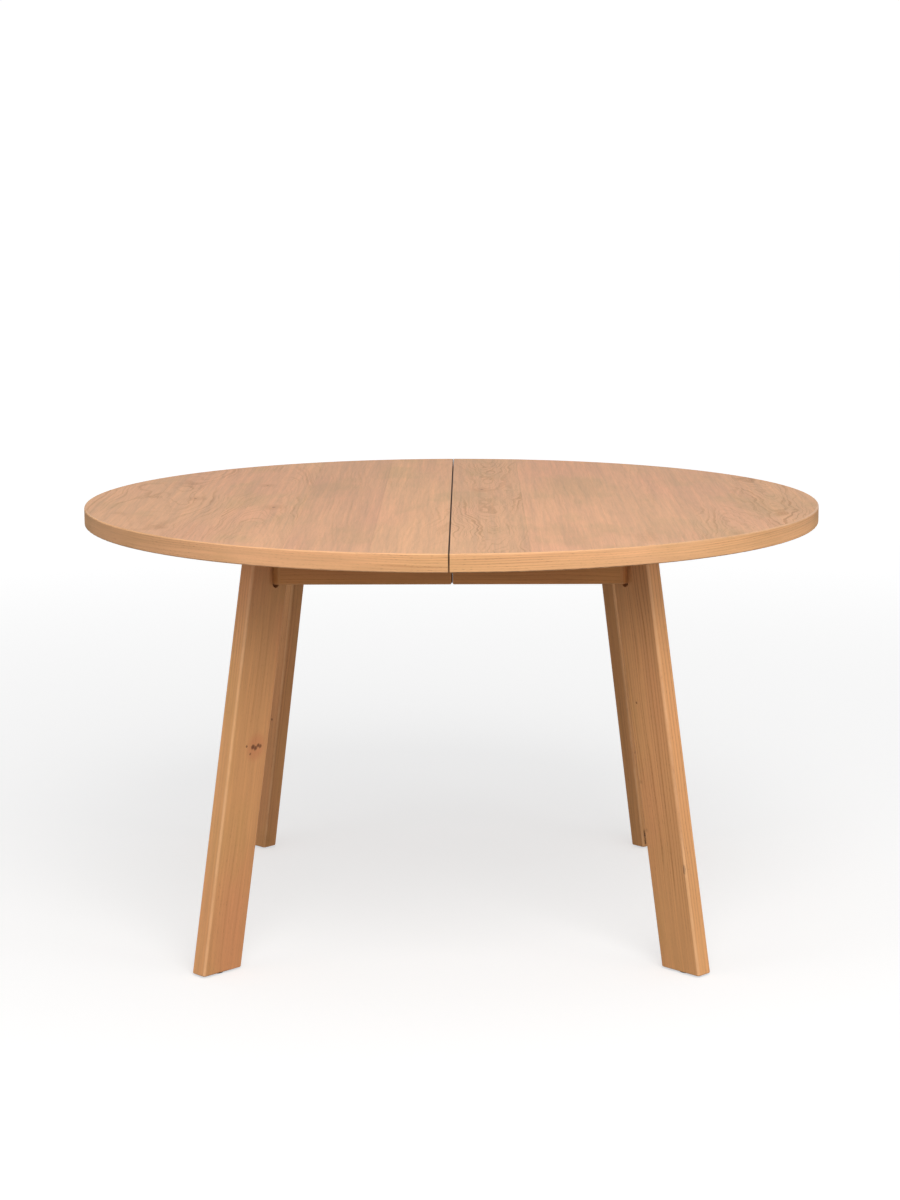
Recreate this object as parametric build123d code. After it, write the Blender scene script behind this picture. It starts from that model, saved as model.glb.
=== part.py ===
from build123d import *
import os
from math import cos, radians, sin, sqrt

# Round extending dining table. Each half carries half of the top, half of the
# underframe and two legs. The right half slides along +X away from the left one.
# Millimetres, +Z up, origin on the floor below the middle of the seam.
# Every piece is first made for the right half or the front, then mirrored.

# --- top ----------------------------------------------------------------------
TOP_DIAMETER = 1300.0
TABLE_HEIGHT = 745.0
TOP_THICKNESS = 30.0
LIPPING = 3.0
TOP_ARRIS = 2.0
SEAM_GAP = 0.8
SEAM_ARRIS = 1.2

# --- underframe ---------------------------------------------------------------
FRAME_HALF_X = 328.0
FRAME_HALF_Y = 343.0
CORNER_CUT = 42.0
RAIL_HEIGHT = 68.0
RAIL_THICKNESS = 24.0
RAIL_GAP = 2.2
RAIL_GAP_CENTRE = 3.0
RAIL_ARRIS = 1.5
PAD_THICKNESS, PAD_INSET = 1.9, 2.5
BLOCK_LAP = 26.0
BLOCK_FACE, BLOCK_ROUND = 4.0, 3.0
DOWEL_R, DOWEL_LENGTH, DOWEL_IN_BLOCK = 3.0, 30.0, 10.0
DOWEL_INSET_Z, DOWEL_FROM_INSIDE = 17.0, 8.0
CROSS_RAIL_START, CROSS_RAIL_WIDTH, CROSS_RAIL_HEIGHT = 60.0, 40.0, 25.0
CROSS_RAIL_SPARE = 4.0

# --- legs ---------------------------------------------------------------------
LEG_WIDTH = 82.0
LEG_THICKNESS = 32.0
FOOT_REACH = 164.0
LEG_SPLAY = 128.0
LEG_ROUND = 4.5
FOOT_ARRIS = 2.0
RELIEF_R = 7.0
GLIDE_R, GLIDE_HEIGHT, GLIDE_ROUND = 11.0, 3.0, 1.0
NAIL_R, NAIL_LENGTH = 1.5, 16.0

# --- leg bolts ----------------------------------------------------------------
BOLT_R, BOLT_LENGTH = 4.0, 60.0
BOLT_HEAD_AF, BOLT_HEAD = 13.0, 5.3
BOLT_HOLE_R = 4.5
BOLT_INSET_Z = 18.0
WASHER_R, WASHER = 8.0, 1.6
INSERT_R, INSERT_BORE_R = 6.0, 4.2
INSERT_START, INSERT_END, INSERT_HOLE_END = 1.0, 23.0, 23.6

# --- telescopic slides --------------------------------------------------------
SLIDE_LENGTH = 520.0
SLIDE_SHEET = 1.2
SLIDE_WIDTH = 12.7
SLIDE_DROP = 30.5
OUTER_HALF_HEIGHT, MIDDLE_HALF_HEIGHT, INNER_HALF_HEIGHT = 22.5, 16.3, 10.1
OUTER_FLANGE, MIDDLE_FLANGE, INNER_FLANGE = 10.0, 9.3, 8.1
WEB_CLEARANCE = 1.4
BALL_R, BALL_POCKET_R = 2.4, 2.5
BALL_SPACING, BALL_COUNT = 40.0, 6
CAGE_LENGTH, CAGE_SHEET, CAGE_WIDTH = 240.0, 0.8, 6.4
BEARER_THICKNESS, BEARER_HEIGHT = 20.0, 60.0
BEARER_START, BEARER_END = 8.0, 258.0
SLIDE_SCREWS_X = (40.0, 140.0, 240.0)
THIN_HEAD = 0.9

# --- screws -------------------------------------------------------------------
TOP_SCREW_R, TOP_SCREW_HEAD_R, TOP_SCREW_HEAD = 2.25, 4.5, 2.8
TOP_SCREW_BITE = 17.0
COUNTERBORE_R = 5.0
RAIL_BORE, BEARER_BORE, CROSS_RAIL_BORE = 30.0, 25.0, 6.0
LONG_RAIL_SCREWS_X = (55.0, 215.0)
END_RAIL_SCREWS_Y = (-190.0, 0.0, 190.0)
BEARER_SCREWS_X = (90.0, 190.0)
CROSS_RAIL_SCREWS_Y = (-180.0, 180.0)
SMALL_SCREW_R, SMALL_SCREW_HEAD_R, SMALL_SCREW_HEAD = 1.75, 3.5, 1.6
SMALL_SCREW_LENGTH = 14.0

# --- seam pins and locks ------------------------------------------------------
PIN_R, PIN_SOCKET_R = 4.0, 4.4
PIN_LENGTH, PIN_PROUD, PIN_SOCKET = 30.0, 10.0, 13.0
PINS_Y = (-560.0, -200.0, 200.0, 560.0)
LOCK_Y = 430.0
PIVOT_X, STUD_X = 28.0, 22.0
PLATE_SHEET, PLATE_WIDTH, PLATE_ROUND = 3.0, 30.0, 3.0
PLATE_NEAR, BASE_FAR, KEEPER_FAR = 6.0, 60.0, 46.0
PLATE_SCREW_INSET = 6.0
LEVER_SHEET, LEVER_HUB_R, LEVER_BORE_R, LEVER_REACH = 3.0, 11.0, 4.08, 60.0
CATCH_FRONT, CATCH_BACK = 12.0, 14.0
ARM_WIDTH, ARM_LENGTH = 12.0, 58.0
TAB_DROP = 9.0
BOSS_R, BOSS_HEIGHT = 7.0, 5.7
PIVOT_R, STUD_R = 4.0, 3.0
PIVOT_HEAD_R, STUD_HEAD_R, HEAD_SHEET = 7.0, 5.5, 2.0
LEVER_PLAY, SLOT_PLAY = 0.3, 0.4
LEVER_OPEN_ANGLE = 60.0

# --- worked out from the above --------------------------------------------------
TOP_R = TOP_DIAMETER / 2
UNDERSIDE = TABLE_HEIGHT - TOP_THICKNESS
FRAME_BOTTOM = UNDERSIDE - RAIL_HEIGHT
CORNER_X = FRAME_HALF_X - CORNER_CUT
CORNER_Y = FRAME_HALF_Y - CORNER_CUT
RAIL_END_X = CORNER_X - BLOCK_FACE
RAIL_END_Y = CORNER_Y - BLOCK_FACE
FACET_X = FRAME_HALF_X - CORNER_CUT / 2
FACET_Y = FRAME_HALF_Y - CORNER_CUT / 2
INNER_X = FRAME_HALF_X - RAIL_THICKNESS
INNER_Y = FRAME_HALF_Y - RAIL_THICKNESS
BLOCK_DEPTH = (FACET_X + FACET_Y - (CORNER_X - BLOCK_LAP) - INNER_Y) / sqrt(2)
BOLT_HEIGHTS = (FRAME_BOTTOM + BOLT_INSET_Z, UNDERSIDE - BOLT_INSET_Z)
DOWEL_HEIGHTS = (FRAME_BOTTOM + DOWEL_INSET_Z, UNDERSIDE - DOWEL_INSET_Z)
SLIDE_Z = UNDERSIDE - SLIDE_DROP
OUTER_WEB_Y = INNER_Y - BEARER_THICKNESS
MIDDLE_WEB_Y = OUTER_WEB_Y - SLIDE_SHEET - WEB_CLEARANCE
INNER_WEB_Y = OUTER_WEB_Y - SLIDE_WIDTH
BEARER_BOTTOM = UNDERSIDE - BEARER_HEIGHT
PLATE_BOTTOM = UNDERSIDE - PLATE_SHEET
LEVER_TOP = PLATE_BOTTOM - BOSS_HEIGHT - LEVER_PLAY
LEVER_BOTTOM = LEVER_TOP - LEVER_SHEET
HEAD_TOP = LEVER_BOTTOM - LEVER_PLAY
STUD_RADIUS = PIVOT_X + STUD_X

os.makedirs("parts", exist_ok=True)
nodes = {}


# --- small helpers --------------------------------------------------------------
def slab(x0, x1, y0, y1, z0, z1):
    """A box between two corners, given in any order."""
    size = (abs(x1 - x0), abs(y1 - y0), abs(z1 - z0))
    return Pos((x0 + x1) / 2, (y0 + y1) / 2, (z0 + z1) / 2) * Box(*size)


def upright(radius, x, y, z0, z1):
    """A vertical cylinder."""
    return Pos(x, y, (z0 + z1) / 2) * Cylinder(radius, z1 - z0)


def along_x(radius, y, z, x0, x1):
    """A cylinder along X."""
    return Pos((x0 + x1) / 2, y, z) * Rot(0, 90, 0) * Cylinder(radius, abs(x1 - x0))


def along_y(radius, x, z, y0, y1):
    """A cylinder along Y."""
    return Pos(x, (y0 + y1) / 2, z) * Rot(90, 0, 0) * Cylinder(radius, abs(y1 - y0))


def prism(points, z0, z1):
    """A vertical prism on a plan outline."""
    return Pos(0, 0, z0) * extrude(make_face(Polyline(*points, close=True)), z1 - z0, dir=(0, 0, 1))


def to_left(shape):
    """The mirror image in the seam."""
    return mirror(shape, about=Plane.YZ)


def to_back(shape):
    """The mirror image in the plane through the middle of the long rails."""
    return mirror(shape, about=Plane.XZ)


def at_front_right(shape):
    """Moves a shape made about the corner facet, +X outwards, to the front right corner."""
    return Pos(FACET_X, -FACET_Y, 0) * Rot(0, 0, -45) * shape


# --- screws ---------------------------------------------------------------------
def top_screw(x, y, bottom, bore):
    """A pan-head screw that goes up from a counterbore into the top."""
    seat = bottom + bore
    shank = upright(TOP_SCREW_R, x, y, seat - TOP_SCREW_HEAD / 2, UNDERSIDE + TOP_SCREW_BITE)
    return shank + upright(TOP_SCREW_HEAD_R, x, y, seat - TOP_SCREW_HEAD, seat)


def counterbore(x, y, bottom, bore):
    return upright(COUNTERBORE_R, x, y, bottom - 1, bottom + bore)


def slide_screw(x, seat, way, head):
    """A screw along Y through a slide's web. Its head lies on the web at seat."""
    shank = along_y(SMALL_SCREW_R, x, SLIDE_Z, seat, seat + way * SMALL_SCREW_LENGTH)
    return shank + along_y(SMALL_SCREW_HEAD_R, x, SLIDE_Z, seat - way * head, seat)


def plate_screw(x, y):
    """A screw up through a lock plate into the top."""
    shank = upright(SMALL_SCREW_R, x, y, PLATE_BOTTOM, PLATE_BOTTOM + SMALL_SCREW_LENGTH)
    return shank + upright(SMALL_SCREW_HEAD_R, x, y, PLATE_BOTTOM - SMALL_SCREW_HEAD, PLATE_BOTTOM)


# --- underframe, front right quarter ------------------------------------------------
def long_rail(start):
    """Half of the front rail, from its end at the middle gap to the corner block."""
    rail = slab(start, RAIL_END_X, -FRAME_HALF_Y, -INNER_Y, FRAME_BOTTOM, UNDERSIDE)
    low = rail.edges().filter_by(Axis.X).sort_by(Axis.Z)[:2]
    gap_corner = rail.edges().filter_by(Axis.Y).sort_by(Axis.X)[:2].sort_by(Axis.Z)[:1]
    rail = chamfer(low + gap_corner, RAIL_ARRIS)
    for x in LONG_RAIL_SCREWS_X:
        rail -= counterbore(x, -INNER_Y - RAIL_THICKNESS / 2, FRAME_BOTTOM, RAIL_BORE)
    return rail


def rail_pad(start):
    """Felt pad on the middle end of the front rail. It almost fills the gap to the other half's rail."""
    y = (-FRAME_HALF_Y + PAD_INSET, -INNER_Y - PAD_INSET)
    return slab(start - PAD_THICKNESS, start, *y, FRAME_BOTTOM + PAD_INSET, UNDERSIDE - PAD_INSET)


def end_rail():
    """The rail at the outer end of the right half."""
    rail = slab(INNER_X, FRAME_HALF_X, -RAIL_END_Y, RAIL_END_Y, FRAME_BOTTOM, UNDERSIDE)
    low = rail.edges().filter_by(Axis.Y).sort_by(Axis.Z)[:2]
    rail = chamfer(low, RAIL_ARRIS)
    for y in END_RAIL_SCREWS_Y:
        rail -= counterbore(INNER_X + RAIL_THICKNESS / 2, y, FRAME_BOTTOM, RAIL_BORE)
    return rail


def distance_out(edge):
    """How far an upright edge is from the table's middle."""
    return Vector(edge.center().X, edge.center().Y).length


def corner_block():
    """The front right block between the rails. Its outer facet carries the leg."""
    outline = [
        (RAIL_END_X, -FRAME_HALF_Y),
        (CORNER_X, -FRAME_HALF_Y),
        (FRAME_HALF_X, -CORNER_Y),
        (FRAME_HALF_X, -RAIL_END_Y),
        (INNER_X, -RAIL_END_Y),
        (INNER_X, -CORNER_Y + BLOCK_LAP),
        (CORNER_X - BLOCK_LAP, -INNER_Y),
        (RAIL_END_X, -INNER_Y),
    ]
    block = prism(outline, FRAME_BOTTOM, UNDERSIDE)
    facet_edges = block.edges().filter_by(Axis.Z).sort_by(distance_out)[-2:]
    block = fillet(facet_edges, BLOCK_ROUND)
    for z in BOLT_HEIGHTS:
        block -= at_front_right(along_x(BOLT_HOLE_R, 0, z, -BLOCK_DEPTH - 1, 1))
    return block


def block_dowels():
    """Wood dowels between the front right block and its two rails."""
    in_rail = DOWEL_LENGTH - DOWEL_IN_BLOCK
    dowels = []
    for z in DOWEL_HEIGHTS:
        ends_x = (RAIL_END_X - in_rail, RAIL_END_X + DOWEL_IN_BLOCK)
        ends_y = (-RAIL_END_Y - DOWEL_IN_BLOCK, -RAIL_END_Y + in_rail)
        dowels.append(along_x(DOWEL_R, -INNER_Y - DOWEL_FROM_INSIDE, z, *ends_x))
        dowels.append(along_y(DOWEL_R, INNER_X + DOWEL_FROM_INSIDE, z, *ends_y))
    return Compound(dowels)


def bearer(outer_y, screws_x):
    """A wood bearer along X that carries one slide member, front side."""
    inner_y = outer_y - BEARER_THICKNESS
    body = slab(BEARER_START, BEARER_END, -outer_y, -inner_y, BEARER_BOTTOM, UNDERSIDE)
    for x in screws_x:
        body -= counterbore(x, -outer_y + BEARER_THICKNESS / 2, BEARER_BOTTOM, BEARER_BORE)
    return body


def cross_rail():
    """A flat rail between the slides that stiffens the top beside the seam."""
    half = INNER_WEB_Y - BEARER_THICKNESS - CROSS_RAIL_SPARE
    x1 = CROSS_RAIL_START + CROSS_RAIL_WIDTH
    bottom = UNDERSIDE - CROSS_RAIL_HEIGHT
    rail = slab(CROSS_RAIL_START, x1, -half, half, bottom, UNDERSIDE)
    for y in CROSS_RAIL_SCREWS_Y:
        rail -= counterbore(CROSS_RAIL_START + CROSS_RAIL_WIDTH / 2, y, bottom, CROSS_RAIL_BORE)
    return rail


def front_top_screws(bearer_y):
    """Screws into the top from the front rail and the front bearer, right half."""
    screws = []
    for x in LONG_RAIL_SCREWS_X:
        screws.append(top_screw(x, -INNER_Y - RAIL_THICKNESS / 2, FRAME_BOTTOM, RAIL_BORE))
    for x in BEARER_SCREWS_X:
        screws.append(top_screw(x, bearer_y, BEARER_BOTTOM, BEARER_BORE))
    return screws


def middle_top_screws():
    """Screws into the top from the end rail and the cross rail, right half."""
    screws = []
    for y in END_RAIL_SCREWS_Y:
        screws.append(top_screw(INNER_X + RAIL_THICKNESS / 2, y, FRAME_BOTTOM, RAIL_BORE))
    for y in CROSS_RAIL_SCREWS_Y:
        x = CROSS_RAIL_START + CROSS_RAIL_WIDTH / 2
        screws.append(top_screw(x, y, UNDERSIDE - CROSS_RAIL_HEIGHT, CROSS_RAIL_BORE))
    return screws


# --- legs, made about the corner facet with +X outwards ----------------------------------
def leg_outer(z):
    """How far the leg's outer face stands out from the corner facet at a height."""
    return FOOT_REACH - LEG_SPLAY * z / UNDERSIDE


def foot_centre():
    return leg_outer(GLIDE_HEIGHT) - LEG_WIDTH / 2


def leg():
    """A splayed slab leg with a notch for the frame corner."""
    outline = [
        (leg_outer(GLIDE_HEIGHT), GLIDE_HEIGHT),
        (leg_outer(UNDERSIDE), UNDERSIDE),
        (0, UNDERSIDE),
        (0, FRAME_BOTTOM),
        (leg_outer(FRAME_BOTTOM) - LEG_WIDTH, FRAME_BOTTOM),
        (leg_outer(GLIDE_HEIGHT) - LEG_WIDTH, GLIDE_HEIGHT),
    ]
    side = make_face(Plane.XZ * Polyline(*outline, close=True))
    body = extrude(side, LEG_THICKNESS / 2, both=True)
    body = fillet(body.edges().filter_by(lambda edge: edge.length > FRAME_BOTTOM / 2), LEG_ROUND)
    foot = body.edges().filter_by_position(Axis.Z, GLIDE_HEIGHT - 0.01, GLIDE_HEIGHT + 0.01)
    body = fillet(foot, FOOT_ARRIS)
    body -= along_y(RELIEF_R, -RELIEF_R, FRAME_BOTTOM, -LEG_THICKNESS, LEG_THICKNESS)
    for z in BOLT_HEIGHTS:
        body -= along_x(INSERT_R, 0, z, -1, INSERT_HOLE_END)
    return body - glide()


def glide():
    """A nail-on floor glide, its pad and nail in one piece."""
    pad = upright(GLIDE_R, foot_centre(), 0, 0, GLIDE_HEIGHT)
    pad = fillet(pad.edges().sort_by(Axis.Z)[:1], GLIDE_ROUND)
    return pad + upright(NAIL_R, foot_centre(), 0, GLIDE_HEIGHT / 2, GLIDE_HEIGHT + NAIL_LENGTH)


def leg_bolts():
    bolts = []
    head_start = -BLOCK_DEPTH - WASHER - BOLT_HEAD
    shank_start = head_start + BOLT_HEAD
    for z in BOLT_HEIGHTS:
        hexagon = Plane.YZ * RegularPolygon(BOLT_HEAD_AF / 2, 6, major_radius=False)
        head = Pos(head_start, 0, z) * extrude(hexagon, BOLT_HEAD, dir=(1, 0, 0))
        bolts.append(head + along_x(BOLT_R, 0, z, shank_start - 1, shank_start + BOLT_LENGTH))
    return Compound(bolts)


def leg_washers():
    washers = []
    for z in BOLT_HEIGHTS:
        ring = along_x(WASHER_R, 0, z, -BLOCK_DEPTH - WASHER, -BLOCK_DEPTH)
        washers.append(ring - along_x(BOLT_HOLE_R, 0, z, -BLOCK_DEPTH - 2 * WASHER, 0))
    return Compound(washers)


def leg_inserts():
    inserts = []
    for z in BOLT_HEIGHTS:
        tube = along_x(INSERT_R, 0, z, INSERT_START, INSERT_END)
        inserts.append(tube - along_x(INSERT_BORE_R, 0, z, 0, INSERT_END + 1))
    return Compound(inserts)


# --- telescopic slides, front side ----------------------------------------------------------
def channel(web_y, half_height, flange):
    """A rolled channel along X. Its flanges point to +Y, or to -Y if flange is negative."""
    way = 1 if flange > 0 else -1
    half = SLIDE_LENGTH / 2
    hollow = half_height - SLIDE_SHEET
    outer = slab(-half, half, web_y, web_y + flange, SLIDE_Z - half_height, SLIDE_Z + half_height)
    inside = web_y + way * SLIDE_SHEET
    mouth = web_y + flange + way
    return outer - slab(-half - 1, half + 1, inside, mouth, SLIDE_Z - hollow, SLIDE_Z + hollow)


def ball_cage(outer_race, ball_y):
    """Two cage strips with their balls, in the races above and below the slide's middle."""
    level = outer_race - SLIDE_SHEET - BALL_POCKET_R
    first = -BALL_SPACING * (BALL_COUNT - 1) / 2
    half_sheet, half_width = CAGE_SHEET / 2, CAGE_WIDTH / 2
    pieces = []
    for z in (SLIDE_Z - level, SLIDE_Z + level):
        ends = (-CAGE_LENGTH / 2, CAGE_LENGTH / 2)
        strip = slab(*ends, ball_y - half_width, ball_y + half_width, z - half_sheet, z + half_sheet)
        for i in range(BALL_COUNT):
            x = first + i * BALL_SPACING
            strip -= upright(BALL_POCKET_R, x, ball_y, z - 1, z + 1)
            pieces.append(Pos(x, ball_y, z) * Sphere(BALL_R))
        pieces.append(strip)
    return Compound(pieces)


# --- locks, front side ----------------------------------------------------------------------
def plate_screw_places(far):
    """Two screws at a plate's end away from the seam, where the lever clears them."""
    x = far - PLATE_SCREW_INSET
    side = PLATE_WIDTH / 2 - PLATE_SCREW_INSET
    return [(x, -LOCK_Y - side), (x, -LOCK_Y + side)]


def lock_plate(far):
    """A screwed plate under the top, right of the seam."""
    half = PLATE_WIDTH / 2
    plate = slab(PLATE_NEAR, far, -LOCK_Y - half, -LOCK_Y + half, PLATE_BOTTOM, UNDERSIDE)
    plate = fillet(plate.edges().filter_by(Axis.Z), PLATE_ROUND)
    for x, y in plate_screw_places(far):
        plate -= upright(SMALL_SCREW_R, x, y, PLATE_BOTTOM - 1, UNDERSIDE + 1)
    return plate


def keeper():
    """The strike plate with its headed stud."""
    stud = upright(STUD_R, STUD_X, -LOCK_Y, HEAD_TOP - HEAD_SHEET, PLATE_BOTTOM)
    head = upright(STUD_HEAD_R, STUD_X, -LOCK_Y, HEAD_TOP - HEAD_SHEET, HEAD_TOP)
    return lock_plate(KEEPER_FAR) + stud + head


def lock_base():
    """The lever's base plate and its boss, drawn right of the seam."""
    boss = upright(BOSS_R, PIVOT_X, -LOCK_Y, PLATE_BOTTOM - BOSS_HEIGHT, PLATE_BOTTOM)
    bore = upright(PIVOT_R, PIVOT_X, -LOCK_Y, 0, TABLE_HEIGHT)
    return lock_plate(BASE_FAR) + boss - bore


def lock_pivot():
    """The shouldered rivet that the lever turns on, drawn right of the seam."""
    shank = upright(PIVOT_R, PIVOT_X, -LOCK_Y, HEAD_TOP - HEAD_SHEET, UNDERSIDE)
    return shank + upright(PIVOT_HEAD_R, PIVOT_X, -LOCK_Y, HEAD_TOP - HEAD_SHEET, HEAD_TOP)


def ring_sector(inner, outer, start, stop):
    """Part of a ring about the lever's pivot, between two angles in degrees."""
    corners = [(0, 0)]
    for i in range(5):
        angle = radians(start + (stop - start) * i / 4)
        corners.append((2 * outer * cos(angle), 2 * outer * sin(angle)))
    ring = upright(outer, 0, 0, LEVER_BOTTOM, LEVER_TOP) - upright(inner, 0, 0, 0, TABLE_HEIGHT)
    return ring & prism(corners, LEVER_BOTTOM, LEVER_TOP)


def lever():
    """The lock lever, turned open. Its curved slot takes the stud when it is turned back."""
    slot = STUD_R + SLOT_PLAY
    catch = ring_sector(LEVER_HUB_R / 2, LEVER_REACH, -CATCH_FRONT, CATCH_BACK)
    hub = upright(LEVER_HUB_R, 0, 0, LEVER_BOTTOM, LEVER_TOP)
    half_arm = ARM_WIDTH / 2
    arm = slab(-ARM_LENGTH, 0, -half_arm, half_arm, LEVER_BOTTOM, LEVER_TOP)
    tab_inside = LEVER_SHEET - ARM_LENGTH
    grip = slab(-ARM_LENGTH, tab_inside, -half_arm, half_arm, LEVER_BOTTOM - TAB_DROP, LEVER_TOP)
    plate = hub + catch + arm + grip
    plate -= ring_sector(STUD_RADIUS - slot, STUD_RADIUS + slot, -2 * CATCH_FRONT, 0)
    plate -= upright(slot, STUD_RADIUS, 0, 0, TABLE_HEIGHT)
    plate -= upright(LEVER_BORE_R, 0, 0, 0, TABLE_HEIGHT)
    return Pos(-PIVOT_X, -LOCK_Y, 0) * Rot(0, 0, LEVER_OPEN_ANGLE) * plate


# --- top, right half --------------------------------------------------------------------------
def half_top():
    """The right half of the top as its panel and the lipping round its edge."""
    disc = upright(TOP_R, 0, 0, UNDERSIDE, TABLE_HEIGHT)
    disc = fillet(disc.edges().filter_by(GeomType.CIRCLE), TOP_ARRIS)
    side = slab(SEAM_GAP / 2, TOP_R + 1, -TOP_R - 1, TOP_R + 1, UNDERSIDE, TABLE_HEIGHT)
    side = chamfer(side.edges().filter_by(Axis.Y).sort_by(Axis.X)[:2], SEAM_ARRIS)
    half = disc & side
    core = upright(TOP_R - LIPPING, 0, 0, 0, TABLE_HEIGHT + 1)
    return half & core, half - core


# --- assembly ---------------------------------------------------------------------------------
def whole(shape):
    """One compound of all of a shape's solids."""
    return Compound(shape.solids())


def front_and_back(front):
    """A group of front pieces joined by its mirror image at the back."""
    solids = front.solids()
    return Compound(solids + [to_back(solid) for solid in solids])


def keep(name, shape):
    nodes[name] = shape


def underframe(side, place, rail_start, bearer_outer_y):
    """Wood, legs and fixings under one half of the top. Returns its screws and dowels."""
    dowels = front_and_back(block_dowels())
    bearer_y = -bearer_outer_y + BEARER_THICKNESS / 2
    outer_screws = front_and_back(Compound(front_top_screws(bearer_y)))
    screws = Compound(middle_top_screws() + outer_screws.solids())
    wood = {
        "front_rail": long_rail(rail_start),
        "back_rail": to_back(long_rail(rail_start)),
        "end_rail": end_rail(),
        "front_corner_block": corner_block(),
        "back_corner_block": to_back(corner_block()),
        "front_slide_bearer": bearer(bearer_outer_y, BEARER_SCREWS_X),
        "back_slide_bearer": to_back(bearer(bearer_outer_y, BEARER_SCREWS_X)),
        "cross_rail": cross_rail(),
    }
    for name, piece in wood.items():
        keep(side + "_" + name, place(piece - dowels - screws))
    for end, turn in (("front", whole), ("back", to_back)):
        keep(f"{side}_{end}_leg", place(turn(at_front_right(leg()))))
    keep(side + "_leg_bolts", place(front_and_back(at_front_right(leg_bolts()))))
    keep(side + "_leg_washers", place(front_and_back(at_front_right(leg_washers()))))
    keep(side + "_leg_inserts", place(front_and_back(at_front_right(leg_inserts()))))
    keep(side + "_glides", place(front_and_back(at_front_right(glide()))))
    keep(side + "_dowels", place(dowels))
    keep(side + "_top_screws", place(screws))
    return screws


def slides():
    """Both telescopic slides and the screws that hold them to the bearers."""
    members = {
        "slide_outer": channel(-OUTER_WEB_Y, OUTER_HALF_HEIGHT, OUTER_FLANGE),
        "slide_middle": channel(-MIDDLE_WEB_Y, MIDDLE_HALF_HEIGHT, MIDDLE_FLANGE),
        "slide_inner": channel(-INNER_WEB_Y, INNER_HALF_HEIGHT, -INNER_FLANGE),
    }
    outer_ball_y = (-MIDDLE_WEB_Y - OUTER_WEB_Y + OUTER_FLANGE) / 2
    inner_ball_y = (-MIDDLE_WEB_Y + MIDDLE_FLANGE - INNER_WEB_Y - INNER_FLANGE) / 2
    cages = {
        "slide_outer_cage": ball_cage(OUTER_HALF_HEIGHT, outer_ball_y),
        "slide_inner_cage": ball_cage(MIDDLE_HALF_HEIGHT, inner_ball_y),
    }
    outer_seat = -OUTER_WEB_Y + SLIDE_SHEET
    inner_seat = -INNER_WEB_Y - SLIDE_SHEET
    outer_screws = Compound([slide_screw(-x, outer_seat, -1, THIN_HEAD) for x in SLIDE_SCREWS_X])
    inner_screws = Compound([slide_screw(x, inner_seat, 1, SMALL_SCREW_HEAD) for x in SLIDE_SCREWS_X])
    members["slide_outer"] -= outer_screws
    members["slide_inner"] -= inner_screws
    for name, piece in (members | cages).items():
        keep("front_" + name, piece)
        keep("back_" + name, to_back(piece))
    for side, screws in (("left", outer_screws), ("right", inner_screws)):
        both = front_and_back(screws)
        keep(side + "_slide_screws", both)
        for end in ("front", "back"):
            nodes[f"{side}_{end}_slide_bearer"] -= both


def locks():
    """Both locks. Returns the screws of the left and of the right plates."""
    left, right = (
        front_and_back(Compound([plate_screw(x, y) for x, y in plate_screw_places(far)]))
        for far in (BASE_FAR, KEEPER_FAR)
    )
    keep("left_lock_bases", to_left(front_and_back(lock_base())))
    keep("left_lock_pivots", to_left(front_and_back(lock_pivot())))
    keep("right_lock_keepers", front_and_back(keeper()))
    keep("left_lock_screws", to_left(left))
    keep("right_lock_screws", right)
    keep("front_lock_lever", lever())
    keep("back_lock_lever", to_back(lever()))
    return left, right


def tops(left_fixings, right_fixings):
    """Both halves of the top, with the seam pins in the left one."""
    panel, lipping = half_top()
    face = -SEAM_GAP / 2
    z = TABLE_HEIGHT - TOP_THICKNESS / 2
    pin_ends = (face - PIN_LENGTH + PIN_PROUD, face + PIN_PROUD)
    pins = Compound([along_x(PIN_R, y, z, *pin_ends) for y in PINS_Y])
    sockets = Compound([along_x(PIN_SOCKET_R, y, z, 0, PIN_SOCKET - face) for y in PINS_Y])
    keep("left_top_panel", to_left(panel - left_fixings) - pins)
    keep("right_top_panel", panel - right_fixings - sockets)
    keep("left_edge_lipping", to_left(lipping))
    keep("right_edge_lipping", lipping)
    keep("left_seam_pins", pins)


def build():
    left_start = RAIL_GAP / 2 - RAIL_GAP_CENTRE
    right_start = RAIL_GAP / 2 + RAIL_GAP_CENTRE
    left_screws = underframe("left", to_left, left_start, INNER_Y)
    right_screws = underframe("right", whole, right_start, INNER_WEB_Y)
    keep("left_rail_pads", to_left(front_and_back(rail_pad(left_start))))
    slides()
    left_lock, right_lock = locks()
    left_fixings = Compound(left_screws.solids() + left_lock.solids())
    right_fixings = Compound(right_screws.solids() + right_lock.solids())
    tops(left_fixings, right_fixings)
    for name, shape in nodes.items():
        export_step(whole(shape), f"parts/{name}.step")


build()
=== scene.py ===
from math import cos, sin, sqrt
import bpy
from mathutils import Matrix, Vector


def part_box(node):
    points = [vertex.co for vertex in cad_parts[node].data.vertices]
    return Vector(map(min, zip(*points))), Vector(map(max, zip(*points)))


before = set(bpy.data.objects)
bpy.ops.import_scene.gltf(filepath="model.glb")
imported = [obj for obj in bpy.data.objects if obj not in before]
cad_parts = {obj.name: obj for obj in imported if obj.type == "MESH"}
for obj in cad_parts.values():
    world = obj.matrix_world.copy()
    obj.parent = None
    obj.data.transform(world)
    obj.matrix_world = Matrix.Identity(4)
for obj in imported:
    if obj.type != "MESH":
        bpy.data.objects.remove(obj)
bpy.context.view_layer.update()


# --- places in metres, read from the frame ------------------------------------------
TOP_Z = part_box("right_top_panel")[1].z
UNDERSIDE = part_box("right_top_panel")[0].z
TOP_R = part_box("right_edge_lipping")[1].x
FRAME_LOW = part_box("left_front_rail")[0].z

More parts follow.
